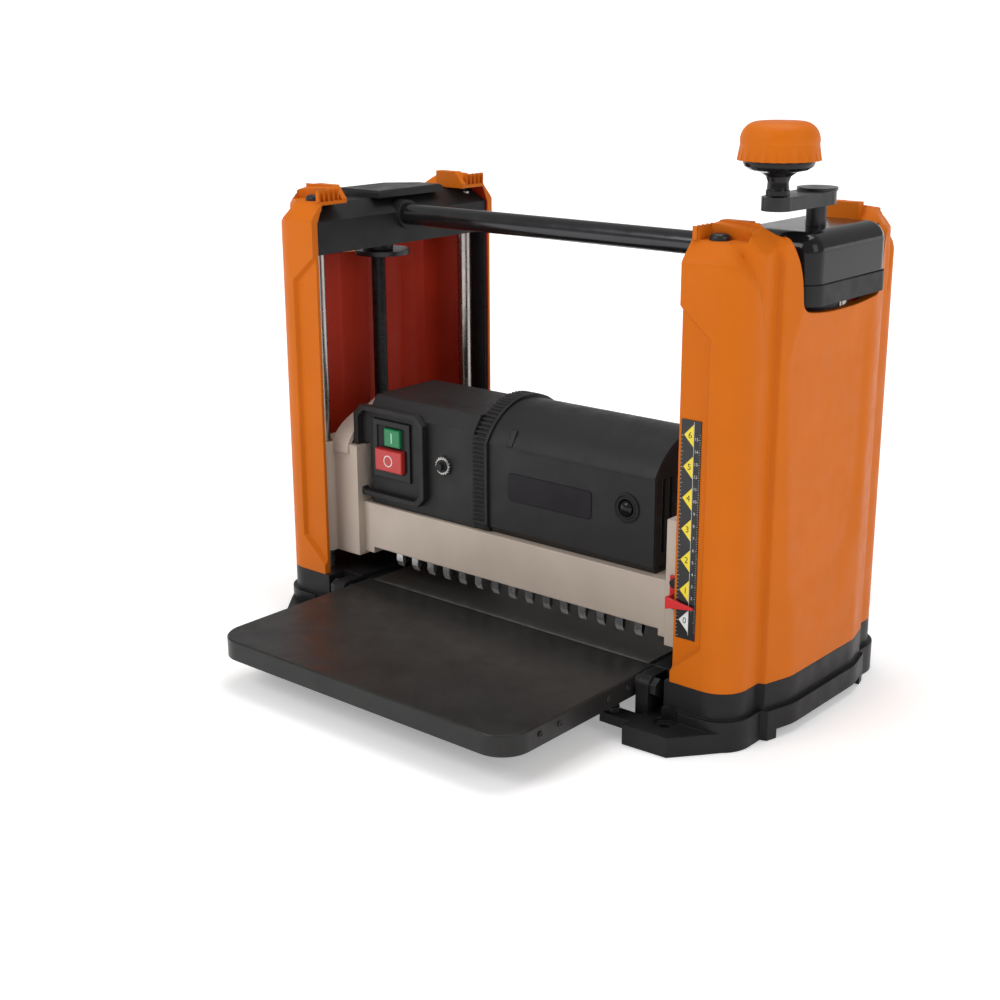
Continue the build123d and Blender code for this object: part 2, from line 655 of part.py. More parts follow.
def roller_blocks():
    """Sliding bearing blocks that the springs press down."""
    body = block(167, 177, -ROLLER_Y - 12, -ROLLER_Y + 12, ROLLER_Z - 11, ROLLER_Z + 13)
    body -= rod_x(160, 190, -ROLLER_Y, ROLLER_Z, 6 + FIT)
    return both_sides(front_and_rear(body))


def roller_springs():
    spring = tube_z(172, -ROLLER_Y, ROLLER_Z + 13, DECK_TOP - DECK_THICK, 5, 3.5)
    return both_sides(front_and_rear(spring))


def gearbox_cover():
    """Closed cover over the cutter's reduction gears and the rollers' chain."""
    outer = block(178, 202, -73, 73, 70, 112)
    outer -= block(177, 200, -71, 71, 68, 110)
    return outer


def pawl_rod():
    return rod_x(-166, 166, PAWL_Y, PAWL_Z, 2)


def pawl(x):
    """One hanging finger: a ring on the rod and a blade that ends in a point."""
    ring = rod_x(x - 4, x + 4, PAWL_Y, PAWL_Z, 4)
    heel, middle = PAWL_Y - 2.5, PAWL_TIP + 5
    blade = [(heel, PAWL_Z), (heel, middle), (PAWL_Y, PAWL_TIP)]
    blade += [(PAWL_Y + 2, middle), (PAWL_Y + 2.5, PAWL_Z)]
    ring += section(make_face(Polyline(*blade, close=True)), x - 4, x + 4)
    return ring - rod_x(x - 5, x + 5, PAWL_Y, PAWL_Z, 2 + FIT)


def pawls():
    """Row of anti-kickback fingers in front of the infeed roller, joined by a light tie bar."""
    half = PAWL_PITCH * (PAWL_COUNT - 1) / 2
    row = block(-half, half, PAWL_Y - 1.5, PAWL_Y + 1.5, 76, 79)
    for n in range(PAWL_COUNT):
        row += pawl(n * PAWL_PITCH - half)
    return row


# ---- motor --------------------------------------------------------------------------------------

def motor_face(grow=0.0):
    low, front, back = DECK_TOP - min(grow, 0), MOTOR_FRONT - grow, MOTOR_BACK + grow
    shoulder, crest = MOTOR_SHOULDER, MOTOR_CREST + grow
    base = [(back, shoulder - 8), (back, low), (front + 4, low), (front, low + 6), (front, shoulder)]
    crown = ThreePointArc((front, shoulder), (MOTOR_Y, crest), (back, shoulder - 8))
    return make_face(Curve() + [Polyline(*base), crown])


def motor_housing():
    """Moulded motor casing with a closed right-hand end ring that the grille fits."""
    shell = section(motor_face(), MOTOR_LEFT, MOTOR_RIGHT)
    shell -= section(motor_face(-SHELL), MOTOR_LEFT - 1, MOTOR_RIGHT + 1)
    shell += rod_y(BRUSH_X, MOTOR_FRONT, MOTOR_FRONT + 30, BRUSH_Z, 13)
    return shell - rod_y(BRUSH_X, MOTOR_FRONT - 1, MOTOR_FRONT + 31, BRUSH_Z, 9)


def motor_grille():
    """Slotted air intake in the right-hand end of the motor, with the end bearing's seat."""
    plate = section(motor_face(-SHELL), MOTOR_RIGHT - 7, MOTOR_RIGHT - 1)
    for n in range(9):
        y = MOTOR_Y - 40 + 10 * n
        if abs(y - MOTOR_Y) > 16:
            plate -= block(MOTOR_RIGHT - 9, MOTOR_RIGHT, y - 2.5, y + 2.5, 136, 200)
        else:
            plate -= block(MOTOR_RIGHT - 9, MOTOR_RIGHT, y - 2.5, y + 2.5, 130, 156)
    plate += rod_x(MOTOR_RIGHT - 18, MOTOR_RIGHT - 1, MOTOR_Y, MOTOR_Z, 17)
    return plate - rod_x(MOTOR_RIGHT - 20, MOTOR_RIGHT - 4, MOTOR_Y, MOTOR_Z, 14)


def motor_band():
    """Collar that joins the motor casing to the switch box."""
    ring = section(motor_face(3), BAND_LEFT, MOTOR_LEFT)
    return ring - section(motor_face(-SHELL), BAND_LEFT - 1, MOTOR_LEFT + 1)


def box_face(grow=0.0):
    low, top = DECK_TOP - min(grow, 0), BOX_TOP + grow
    front, back = MOTOR_FRONT - grow, MOTOR_BACK + grow
    points = [(front, low), (front, top - 14), (front + 10, top)]
    points += [(back - 20, top), (back, top - 20), (back, low)]
    return make_face(Polyline(*points, close=True))


def switch_housing():
    """Box on the left of the motor that holds the switch and the circuit breaker."""
    shell = section(box_face(), BOX_LEFT, BAND_LEFT)
    shell += block(-186, BOX_LEFT + 1, MOTOR_FRONT, -70, BLOCK_TOP + 2, BOX_TOP - 14)
    shell -= section(box_face(-SHELL), BOX_LEFT + SHELL, BAND_LEFT + 1)
    shell -= rod_x(-180, -160, MOTOR_Y, MOTOR_Z, 9)
    shell -= block(-166, -118, MOTOR_FRONT - 1, MOTOR_FRONT + 5, 148, 204)
    return shell - rod_y(BREAKER_X, MOTOR_FRONT - 1, MOTOR_FRONT + 5, BREAKER_Z, 6)


def switch_bezel():
    """Raised lip around the switch recess."""
    frame = block(-186, -97, MOTOR_FRONT - 7, MOTOR_FRONT, 128, 216)
    frame = chamfer(frame.edges().filter_by(Axis.Y), 9)
    inner = block(-181, -102, MOTOR_FRONT - 8, MOTOR_FRONT + 1, 133, 211)
    frame -= chamfer(inner.edges().filter_by(Axis.Y), 7)
    return frame - block(-190, -176.5, -110, -80, 100, BLOCK_TOP + 1)


def switch_body():
    """Moulded switch block with one deep pocket for each button."""
    body = block(-166, -118, MOTOR_FRONT - 1, -60, 148, 204)
    for x0, x1, z0, z1 in (START_BUTTON, STOP_BUTTON):
        body -= block(x0 - GAP, x1 + GAP, MOTOR_FRONT - 2, -76, z0 - GAP, z1 + GAP)
    return body


def button(x0, x1, z0, z1, proud):
    """Rectangular push button with eased edges, standing proud of the switch block."""
    front = MOTOR_FRONT - 1 - proud
    body = block(x0, x1, front, -80, z0, z1)
    return fillet(body.faces().sort_by(Axis.Y)[0].edges(), 1.2)


def start_button():
    return button(*START_BUTTON, 3.5)


def stop_button():
    return button(*STOP_BUTTON, 6.0)


def breaker():
    """Thermal breaker behind the panel with its chrome ring nut outside."""
    x, z = BREAKER_X, BREAKER_Z
    body = rod_y(x, MOTOR_FRONT - 5, MOTOR_FRONT + 3, z, 6)
    body += rod_y(x, MOTOR_FRONT + 3, MOTOR_FRONT + 26, z, 12)
    return body - rod_y(x, MOTOR_FRONT - 6, MOTOR_FRONT + 9, z, 3.5 + FIT)


def breaker_nut():
    nut = rod_y(BREAKER_X, MOTOR_FRONT - 4, MOTOR_FRONT, BREAKER_Z, 9)
    return nut - rod_y(BREAKER_X, MOTOR_FRONT - 5, MOTOR_FRONT + 1, BREAKER_Z, 6)


def breaker_button():
    x, z = BREAKER_X, BREAKER_Z
    return rod_y(x, MOTOR_FRONT - 8.5, MOTOR_FRONT + 6, z, 3.5)


def brush_cap():
    """Slotted screw cap over the front motor brush."""
    x, y, z = BRUSH_X, MOTOR_FRONT, BRUSH_Z
    cap = rod_y(x, y - 1.5, y + 6, z, 9)
    return cap - block(x - 6, x + 6, y - 2, y + 0.5, z - 1, z + 1)


def stator():
    core = tube_x(12, 88, MOTOR_Y, MOTOR_Z, 45, 26)
    coils = tube_x(4, 96, MOTOR_Y, MOTOR_Z, 40, 29)
    frame = block(12, 88, MOTOR_Y - 40, MOTOR_Y + 40, DECK_TOP + SHELL, 150)
    return core + coils + (frame - rod_x(0, 100, MOTOR_Y, MOTOR_Z, 40))


def armature():
    """Wound core, commutator and the shaft that carries the pulley at its left end."""
    shaft = rod_x(PULLEY_X - 8, 152, MOTOR_Y, MOTOR_Z, 6)
    core = rod_x(14, 86, MOTOR_Y, MOTOR_Z, 25)
    windings = rod_x(4, 96, MOTOR_Y, MOTOR_Z, 20)
    commutator = rod_x(118, 137, MOTOR_Y, MOTOR_Z, 15)
    return shaft + core + windings + commutator + pulley(PULLEY_X, MOTOR_Y, MOTOR_Z, MOTOR_PULLEY_R, 6)


def motor_fan():
    """Cooling fan on the armature between the band and the stator."""
    hub = tube_x(-14, -4, MOTOR_Y, MOTOR_Z, 14, 6)
    disc = tube_x(-16, -14, MOTOR_Y, MOTOR_Z, 42, 6)
    for n in range(9):
        blade = Pos(-9, 0, 0) * Box(10, 2, 28)
        hub += Pos(0, MOTOR_Y, MOTOR_Z) * Rot(40 * n, 0, 0) * Pos(0, 0, 27) * blade
    return hub + disc


def pointer():
    """Red depth pointer: foot on the carriage, a leg through the gap and a finger over the scale."""
    foot = block(184, 197, -BLOCK_FRONT - 3, -BLOCK_FRONT, 102, 130)
    for z in (POINTER_LOW, POINTER_HIGH):
        foot -= rod_y(POINTER_X, -BLOCK_FRONT - 4, -BLOCK_FRONT + 1, z, 2)
    leg = block(195, 197, -125.6, -BLOCK_FRONT, 111, 121)
    finger = [(195, 111), (195, 121), (200, 120), (221, 116.8), (221, 115.2), (200, 112)]
    return foot + leg + front_slab(finger, 2, -125.6)


def pointer_screws():
    screws = []
    for z in (POINTER_LOW, POINTER_HIGH):
        head = rod_y(POINTER_X, -BLOCK_FRONT - 6, -BLOCK_FRONT - 3, z, 4)
        screws.append(head + rod_y(POINTER_X, -BLOCK_FRONT - 3, -BLOCK_FRONT + 7, z, 2))
    return screws[0] + screws[1]


def cable_gland():
    """Cable inlet in the back of the switch box."""
    gland = rod_y(-110, MOTOR_BACK, MOTOR_BACK + 9, 190, 9)
    return gland - rod_y(-110, MOTOR_BACK - 1, MOTOR_BACK + 10, 190, 4.5)


def chain_loop(r):
    """Plan outline round both sprockets at radius r."""
    ends = Pos(-SCREW_X, 0) * Circle(r) + Pos(SCREW_X, 0) * Circle(r)
    return Rectangle(2 * SCREW_X, 2 * r) + ends


def lift_chain():
    """Chain loop under the bed that turns both lead screws together."""
    return Pos(0, 0, 9.5) * extrude(chain_loop(18.5) - chain_loop(15.5), 5)


NODES = {
    "right_base_casting": right_base,
    "left_base_casting": lambda: mirror_x(right_base()),
    "bed_casting": bed_casting,
    "bed_wear_plate": bed_wear_plate,
    "infeed_table": infeed_table,
    "outfeed_table": lambda: mirror_y(infeed_table()),
    "table_bolts": table_bolts,
    "guide_columns": guide_columns,
    "right_top_bracket": top_bracket,
    "left_top_bracket": left_top_bracket,
    "screw_bearings": screw_bearings,
    "crossbar": crossbar,
    "right_cover": right_cover,
    "left_cover": lambda: mirror_x(right_cover()),
    "cover_bolts": cover_bolts,
    "rear_uprights": lambda: both_sides(rear_upright()),
    "gear_dome": dome,
    "dome_skirt": dome_skirt,
    "depth_scale": depth_scale,
    "lift_chain": lift_chain,
    "left_lead_screw": lambda: lead_screw(-1),
    "right_lead_screw": lambda: lead_screw(1),
    "crank_arm": crank_arm,
    "knob_stem": knob_stem,
    "knob_cap": knob_cap,
    "carriage_casting": carriage_casting,
    "column_bushes": column_bushes,
    "screw_nuts": screw_nuts,
    "dust_hood": dust_hood,
    "cutter_block": cutter_block,
    "cutter_knives": knives,
    "gib_bars": gib_bars,
    "cutter_pulley": cutter_pulley,
    "drive_belt": drive_belt,
    "ball_bearings": ball_bearings,
    "infeed_roller": lambda: feed_roller(-ROLLER_Y),
    "outfeed_roller": lambda: feed_roller(ROLLER_Y),
    "roller_blocks": roller_blocks,
    "roller_springs": roller_springs,
    "gearbox_cover": gearbox_cover,
    "pawl_rod": pawl_rod,
    "anti_kickback_pawls": pawls,
    "motor_housing": motor_housing,
    "motor_grille": motor_grille,
    "motor_band": motor_band,
    "switch_housing": switch_housing,
    "switch_bezel": switch_bezel,
    "switch_body": switch_body,
    "start_button": start_button,
    "stop_button": stop_button,
    "circuit_breaker": breaker,
    "breaker_nut": breaker_nut,
    "breaker_button": breaker_button,
    "brush_cap": brush_cap,
    "stator": stator,
    "armature": armature,
    "motor_fan": motor_fan,
    "depth_pointer": pointer,
    "pointer_screws": pointer_screws,
    "cable_gland": cable_gland,
}

os.makedirs("parts", exist_ok=True)
for name, make in NODES.items():
    export_step(make(), f"parts/{name}.step")
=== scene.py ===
import bmesh
import bpy
from math import asin, cos, pi, radians, sin, tan
from mathutils import Matrix, Vector
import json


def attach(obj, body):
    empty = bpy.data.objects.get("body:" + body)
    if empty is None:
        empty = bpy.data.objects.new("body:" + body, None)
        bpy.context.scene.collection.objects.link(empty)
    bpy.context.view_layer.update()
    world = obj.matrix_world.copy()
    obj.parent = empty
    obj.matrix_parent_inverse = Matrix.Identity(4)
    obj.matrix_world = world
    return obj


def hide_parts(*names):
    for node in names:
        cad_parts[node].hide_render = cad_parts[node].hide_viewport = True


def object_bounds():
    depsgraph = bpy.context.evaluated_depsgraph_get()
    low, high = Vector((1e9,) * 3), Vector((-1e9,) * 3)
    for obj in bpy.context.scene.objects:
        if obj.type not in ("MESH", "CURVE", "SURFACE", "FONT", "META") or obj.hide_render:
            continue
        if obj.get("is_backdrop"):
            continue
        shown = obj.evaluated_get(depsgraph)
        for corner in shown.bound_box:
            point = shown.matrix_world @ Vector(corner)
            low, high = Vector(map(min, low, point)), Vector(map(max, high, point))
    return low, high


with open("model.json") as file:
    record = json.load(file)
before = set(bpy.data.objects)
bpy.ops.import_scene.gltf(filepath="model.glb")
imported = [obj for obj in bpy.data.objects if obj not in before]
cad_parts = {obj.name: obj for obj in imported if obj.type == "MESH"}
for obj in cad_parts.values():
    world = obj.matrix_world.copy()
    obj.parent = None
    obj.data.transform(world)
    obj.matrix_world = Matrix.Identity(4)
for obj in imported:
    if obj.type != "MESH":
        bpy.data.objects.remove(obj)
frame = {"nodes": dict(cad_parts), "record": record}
cad_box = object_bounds()

MM = 0.001


# ---- camera, light and floor --------------------------------------------------------------------

CAMERA_PLACE = Vector((0.857, -1.10305, 0.5612))
CAMERA_AZIMUTH, CAMERA_ELEVATION, CAMERA_ROLL = 40.496, 17.010, -0.269
CAMERA_LENS, SENSOR = 56.4, 36.0


def make_camera():
    """The camera looks down on the machine from its front right-hand corner."""
    azimuth, down, roll = radians(CAMERA_AZIMUTH), radians(CAMERA_ELEVATION), radians(CAMERA_ROLL)
    forward = Vector((-sin(azimuth) * cos(down), cos(azimuth) * cos(down), -sin(down)))
    right = Vector((cos(azimuth), sin(azimuth), 0))
    up = right.cross(forward)
    rolled_right = right * cos(roll) + up * sin(roll)
    rolled_up = up * cos(roll) - right * sin(roll)
    data = bpy.data.cameras.new("camera")
    data.lens, data.sensor_width = CAMERA_LENS, SENSOR
    data.clip_start, data.clip_end = 0.05, 50
    camera = bpy.data.objects.new("camera", data)
    turn = Matrix((rolled_right, rolled_up, -forward)).transposed()
    camera.matrix_world = Matrix.Translation(CAMERA_PLACE) @ turn.to_4x4()
    bpy.context.scene.collection.objects.link(camera)
    bpy.context.scene.camera = camera


def area_light(name, place, aim, size, power, colour=(1, 1, 1)):
    data = bpy.data.lights.new(name, "AREA")
    data.shape, data.size, data.size_y = "RECTANGLE", size[0], size[1]
    data.energy, data.color = power, colour
    light = bpy.data.objects.new(name, data)
    light.location = place
    light.rotation_euler = (Vector(aim) - Vector(place)).to_track_quat("-Z", "Y").to_euler()
    bpy.context.scene.collection.objects.link(light)


def make_studio():
    """White surroundings, soft boxes above and at both sides, and a pale floor with low far walls."""
    world = bpy.data.worlds.new("studio")
    bpy.context.scene.world = world
    world.use_nodes = True
    backdrop = world.node_tree.nodes["Background"]
    backdrop.inputs["Color"].default_value = (1.0, 1.0, 1.0, 1)
    backdrop.inputs["Strength"].default_value = 0.42
    area_light("key", (-0.7, -2.0, 1.9), (0, 0, 0.2), (1.4, 1.1), 24)
    area_light("side", (2.1, -0.3, 1.2), (0.1, 0, 0.2), (1.0, 1.4), 9)
    area_light("top", (0.0, 0.3, 2.2), (0, 0, 0.2), (1.5, 1.0), 20)
    bpy.context.scene.view_settings.view_transform = "Standard"
    mesh = bpy.data.meshes.new("floor")
    reach, rise = 30.0, 4.0
    corners = ((-reach, -reach), (reach, -reach), (reach, reach), (-reach, reach))
    points = [(x, y, z) for z in (0, rise) for x, y in corners]
    mesh.from_pydata(points, [], [(0, 1, 2, 3), (2, 3, 7, 6), (3, 0, 4, 7)])
    floor = bpy.data.objects.new("floor", mesh)
    floor.location.z = -0.0004
    bpy.context.scene.collection.objects.link(floor)
    paint = bpy.data.materials.new("floor_paint")
    paint.use_nodes = True
    tree = paint.node_tree
    shader = tree.nodes["Principled BSDF"]
    shader.inputs["Base Color"].default_value = (0.93, 0.93, 0.93, 1)
    shader.inputs["Roughness"].default_value = 0.9
    shader.inputs["Emission Color"].default_value = (1, 1, 1, 1)
    # painted light: the floor glows more strongly away from the machine, standing in for background lights
    place = tree.nodes.new("ShaderNodeTexCoord")
    length = tree.nodes.new("ShaderNodeVectorMath")
    length.operation = "LENGTH"
    ranger = tree.nodes.new("ShaderNodeMapRange")
    for slot, value in zip(("From Min", "From Max", "To Min", "To Max"), (0.5, 2.2, 0.3, 0.75)):
        ranger.inputs[slot].default_value = value
    tree.links.new(place.outputs["Object"], length.inputs[0])
    tree.links.new(length.outputs["Value"], ranger.inputs["Value"])
    tree.links.new(ranger.outputs["Result"], shader.inputs["Emission Strength"])
    mesh.materials.append(paint)
    floor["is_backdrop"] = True


# ---- materials ----------------------------------------------------------------------------------

def rgba(colour):
    return (colour[0], colour[1], colour[2], 1.0)


class Nodes:
    """Short ways to add and join the nodes of one material."""

    def __init__(self, name):
        self.material = bpy.data.materials.new(name)
        self.material.use_nodes = True
        self.tree = self.material.node_tree
        self.shader = self.tree.nodes["Principled BSDF"]

    def add(self, kind, **values):
        node = self.tree.nodes.new(kind)
        for key, value in values.items():
            setattr(node, key, value)
        return node

    def join(self, source, target):
        self.tree.links.new(source, target)

    def noise(self, scale, detail=3.0, stretch=(1, 1, 1)):
        """Noise in the object's own space, with cells about 1/scale metres wide."""
        place = self.add("ShaderNodeTexCoord")
        mapping = self.add("ShaderNodeMapping")
        mapping.inputs["Scale"].default_value = stretch
        noise = self.add("ShaderNodeTexNoise")
        noise.inputs["Scale"].default_value = scale
        noise.inputs["Detail"].default_value = detail
        self.join(place.outputs["Object"], mapping.inputs["Vector"])
        self.join(mapping.outputs["Vector"], noise.inputs["Vector"])
        return noise.outputs["Fac"]

    def spread(self, source, low, high, to_low=0.0, to_high=1.0):
        """source rescaled from low..high to to_low..to_high, clamped."""
        ranger = self.add("ShaderNodeMapRange")
        for slot, value in zip(("From Min", "From Max", "To Min", "To Max"), (low, high, to_low, to_high)):
            ranger.inputs[slot].default_value = value
        self.join(source, ranger.inputs["Value"])
        return ranger.outputs["Result"]

    def blend(self, share, first, second):
        """Colour between two colours or colour sockets."""
        mix = self.add("ShaderNodeMix", data_type="RGBA")
        self.join(share, mix.inputs["Factor"])
        for slot, value in ((6, first), (7, second)):
            if isinstance(value, tuple):
                mix.inputs[slot].default_value = rgba(value)
            else:
                self.join(value, mix.inputs[slot])
        return mix.outputs[2]

    def product(self, first, second):
        times = self.add("ShaderNodeMath", operation="MULTIPLY")
        self.join(first, times.inputs[0])
        self.join(second, times.inputs[1])
        return times.outputs[0]

    def edge_share(self, radius, low, high):
        """1 along edges that stand out or turn in, 0 on flat areas."""
        bevel = self.add("ShaderNodeBevel", samples=4)
        bevel.inputs["Radius"].default_value = radius
        geometry = self.add("ShaderNodeNewGeometry")
        dot = self.add("ShaderNodeVectorMath", operation="DOT_PRODUCT")
        self.join(bevel.outputs["Normal"], dot.inputs[0])
        self.join(geometry.outputs["Normal"], dot.inputs[1])
        return self.spread(dot.outputs["Value"], high, low)


def surface(name, colour, roughness, metallic=0.0, grain=900.0, depth=0.00002, mottle=0.12, spread=0.08,
            rounding=0.0008, worn=None, wear=0.35, coat=0.0, stretch=(1, 1, 1), specular=0.5):
    """A finish with mottled colour, a fine grain, softened edges and edge wear."""
    n = Nodes(name)
    cloudy = n.spread(n.noise(22.0, 4.0), 0.3, 0.7)
    dark = tuple(c * (1 - mottle) for c in colour)
    light = tuple(min(c * (1 + mottle), 1.0) for c in colour)
    tint = n.blend(cloudy, dark, light)
    if worn:
        rubbed = n.spread(n.noise(160.0, 5.0), 0.35, 0.75)
        edges = n.edge_share(0.0011, 0.80, 0.97)
        share = n.spread(n.product(edges, rubbed), 0.0, 1.0, 0.0, wear)
        tint = n.blend(share, tint, worn)
    n.join(tint, n.shader.inputs["Base Color"])
    rough = n.spread(n.noise(60.0, 4.0), 0.3, 0.7, max(roughness - spread, 0.02), roughness + spread)
    n.join(rough, n.shader.inputs["Roughness"])
    bump = n.add("ShaderNodeBump")
    bump.inputs["Strength"].default_value = 1.0
    bump.inputs["Distance"].default_value = depth
    n.join(n.noise(grain, 3.0, stretch), bump.inputs["Height"])
    if rounding:
        soft = n.add("ShaderNodeBevel", samples=6)
        soft.inputs["Radius"].default_value = rounding
        n.join(soft.outputs["Normal"], bump.inputs["Normal"])
    n.join(bump.outputs["Normal"], n.shader.inputs["Normal"])
    n.shader.inputs["Metallic"].default_value = metallic
    n.shader.inputs["Coat Weight"].default_value = coat
    n.shader.inputs["Specular IOR Level"].default_value = specular
    return n.material


FINISHES = {
    "orange_plastic": surface("orange_plastic", (0.60, 0.138, 0.004), 0.48, grain=1500, depth=0.00003,
                              mottle=0.03, rounding=0.0015, worn=(0.72, 0.26, 0.04), wear=0.2, specular=0.13),
    "black_casting": surface("black_casting", (0.013, 0.013, 0.014), 0.42, grain=1100, depth=0.00006,
                             mottle=0.2, rounding=0.0012, worn=(0.10, 0.10, 0.105), specular=0.18),
    "black_table": surface("black_table", (0.021, 0.020, 0.0195), 0.36, grain=700, depth=0.00003,
                           mottle=0.2, rounding=0.0008, worn=(0.16, 0.16, 0.16), specular=0.22),
    "stainless": surface("stainless", (0.50, 0.48, 0.46), 0.38, metallic=1.0, grain=260, depth=0.00001,
                         mottle=0.04, spread=0.02, rounding=0.0003, stretch=(0.04, 8, 8)),
    "black_steel": surface("black_steel", (0.035, 0.035, 0.037), 0.35, metallic=0.6, grain=1200,
                           depth=0.00002, mottle=0.2, rounding=0.0005, worn=(0.2, 0.2, 0.21), specular=0.3),
    "bright_steel": surface("bright_steel", (0.55, 0.55, 0.56), 0.26, metallic=1.0, grain=600, depth=0.00001,
                            mottle=0.08, rounding=0.0004, stretch=(0.1, 4, 4)),
    "core_steel": surface("core_steel", (0.32, 0.22, 0.16), 0.5, metallic=0.8, grain=2200, depth=0.0001,
                          mottle=0.2, rounding=0.0004, stretch=(6, 0.1, 0.1)),
    "dark_bar": surface("dark_bar", (0.055, 0.055, 0.058), 0.18, metallic=0.85, grain=500, depth=0.00001,
                        mottle=0.1, rounding=0.0004, stretch=(0.05, 5, 5)),
    "chrome": surface("chrome", (0.38, 0.365, 0.35), 0.27, metallic=1.0, grain=500, depth=0.00001,
                      mottle=0.05, rounding=0.0004, stretch=(5, 5, 0.1)),
    "gloss_black": surface("gloss_black", (0.008, 0.008, 0.009), 0.12, grain=400, depth=0.00001, mottle=0.1,
                           rounding=0.0014, spread=0.03, specular=0.26),
    "black_plastic": surface("black_plastic", (0.014, 0.014, 0.015), 0.50, grain=1500, depth=0.00005,
                             mottle=0.12, rounding=0.0008, worn=(0.06, 0.06, 0.06), specular=0.25),
    "motor_plastic": surface("motor_plastic", (0.0175, 0.0165, 0.0165), 0.48, grain=1700, depth=0.00007,
                             mottle=0.12, rounding=0.0016, worn=(0.06, 0.06, 0.06), specular=0.28),
    "grey_casting": surface("grey_casting", (0.55, 0.46, 0.385), 0.42, metallic=0.1, grain=1300,
                            depth=0.00004, mottle=0.05, rounding=0.0012, worn=(0.60, 0.54, 0.48)),
    "bronze": surface("bronze", (0.50, 0.32, 0.13), 0.38, metallic=1.0, grain=1500, depth=0.00003,
                      mottle=0.12),
    "alloy": surface("alloy", (0.55, 0.55, 0.55), 0.34, metallic=1.0, grain=900, depth=0.00002, mottle=0.08),
    "rubber": surface("rubber", (0.018, 0.018, 0.018), 0.62, grain=900, depth=0.00008, mottle=0.15),
    "rubber_roller": surface("rubber_roller", (0.05, 0.045, 0.04), 0.6, grain=1200, depth=0.0001, mottle=0.2),
    "red_plastic": surface("red_plastic", (0.62, 0.012, 0.015), 0.3, grain=900, depth=0.00002, mottle=0.06),
    "green_button": surface("green_button", (0.01, 0.23, 0.08), 0.33, grain=900, depth=0.00003, mottle=0.08,
                            rounding=0.0008),
    "red_button": surface("red_button", (0.55, 0.035, 0.03), 0.33, grain=900, depth=0.00003, mottle=0.06,
                          rounding=0.0008),
    "scale_print": surface("scale_print", (0.010, 0.010, 0.011), 0.35, grain=900, depth=0.00001, mottle=0.06),
}


def finish_cad_nodes():
    """Every CAD node takes the finish of its slot in the record."""
    for row in frame["record"]["subparts"]:
        mesh = frame["nodes"][row["node"]].data
        mesh.materials.clear()
        mesh.materials.append(FINISHES[row["material_slot"]])


# ---- mesh building, in millimetres --------------------------------------------------------------

SHARP = radians(32)


def new_object(name, mesh):
    thing = bpy.data.objects.new(name, mesh)
    bpy.context.scene.collection.objects.link(thing)
    return thing


def from_lists(name, points, faces):
    """A mesh object from points in millimetres, with its faces turned outward."""
    mesh = bpy.data.meshes.new(name)
    mesh.from_pydata([(x * MM, y * MM, z * MM) for x, y, z in points], [], faces)
    shape = bmesh.new()
    shape.from_mesh(mesh)
    bmesh.ops.recalc_face_normals(shape, faces=shape.faces)
    shape.to_mesh(mesh)
    shape.free()
    return new_object(name, mesh)


def from_rings(name, rings, closed=False):
    """A skin over rings of equally many points: capped at both ends, or joined end to end."""
    count = len(rings[0])
    points = [p for ring in rings for p in ring]
    faces = []
    spans = len(rings) if closed else len(rings) - 1
    for k in range(spans):
        here, there = k * count, (k + 1) % len(rings) * count
        for i in range(count):
            j = (i + 1) % count
            faces.append((here + i, here + j, there + j, there + i))
    if not closed:
        faces.append(tuple(reversed(range(count))))
        faces.append(tuple(range(len(points) - count, len(points))))
    return from_lists(name, points, faces)


def prism(name, outline, axis, low, high, far_outline=None):
    """A solid between two copies of an outline; axis is the direction it runs in."""
    order = {
        "x": lambda a, b, d: (d, a, b),
        "y": lambda a, b, d: (a, d, b),
        "z": lambda a, b, d: (a, b, d),
    }[axis]
    rings = [[order(a, b, low) for a, b in outline], [order(a, b, high) for a, b in far_outline or outline]]
    return from_rings(name, rings)


def box_mesh(name, x0, x1, y0, y1, z0, z1):
    return prism(name, [(x0, y0), (x1, y0), (x1, y1), (x0, y1)], "z", z0, z1)


def turned(name, profile, centre, axis="z", segments=64):
    """A solid of revolution from (radius, distance along the axis) pairs."""
    rings = []
    for radius, along in profile:
        ring = []
        for n in range(segments):
            a, b = radius * cos(2 * pi * n / segments), radius * sin(2 * pi * n / segments)
            point = {"x": (along, a, b), "y": (a, along, b), "z": (a, b, along)}[axis]
            ring.append(tuple(p + c for p, c in zip(point, centre)))
        rings.append(ring)
    return from_rings(name, rings)


def combine(thing, other, operation="DIFFERENCE"):
    """A boolean of two objects, applied to the first; the second is used up."""
    step = thing.modifiers.new("combine", "BOOLEAN")
    step.operation, step.solver, step.object = operation, "EXACT", other
    scene_state = bpy.context.evaluated_depsgraph_get()
    mesh = bpy.data.meshes.new_from_object(thing.evaluated_get(scene_state))
    thing.modifiers.clear()
    thing.data = mesh
    bpy.data.objects.remove(other)


def shade(thing, angle=SHARP):
    """Smooth shading, with edges sharper than angle kept crisp."""
    shape = bmesh.new()
    shape.from_mesh(thing.data)
    bmesh.ops.remove_doubles(shape, verts=shape.verts, dist=0.002 * MM)
    bmesh.ops.dissolve_degenerate(shape, edges=shape.edges, dist=0.001 * MM)
    for face in shape.faces:
        face.smooth = True
    for edge in shape.edges:
        edge.smooth = len(edge.link_faces) == 2 and edge.calc_face_angle() < angle
    shape.to_mesh(thing.data)
    shape.free()


def mirrored(thing, name):
    """A copy of a finished piece on the machine's other side."""
    mesh = thing.data.copy()
    mesh.transform(Matrix.Scale(-1, 4, (1, 0, 0)))
    mesh.flip_normals()
    return new_object(name, mesh)


def place(thing, body, slot, *replaced):
    """Gives a piece its finish, its body and the CAD nodes it stands for."""
    if not thing.data.materials:
        thing.data.materials.append(FINISHES[slot])
    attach(thing, body)
    if replaced:
        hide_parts(*replaced)


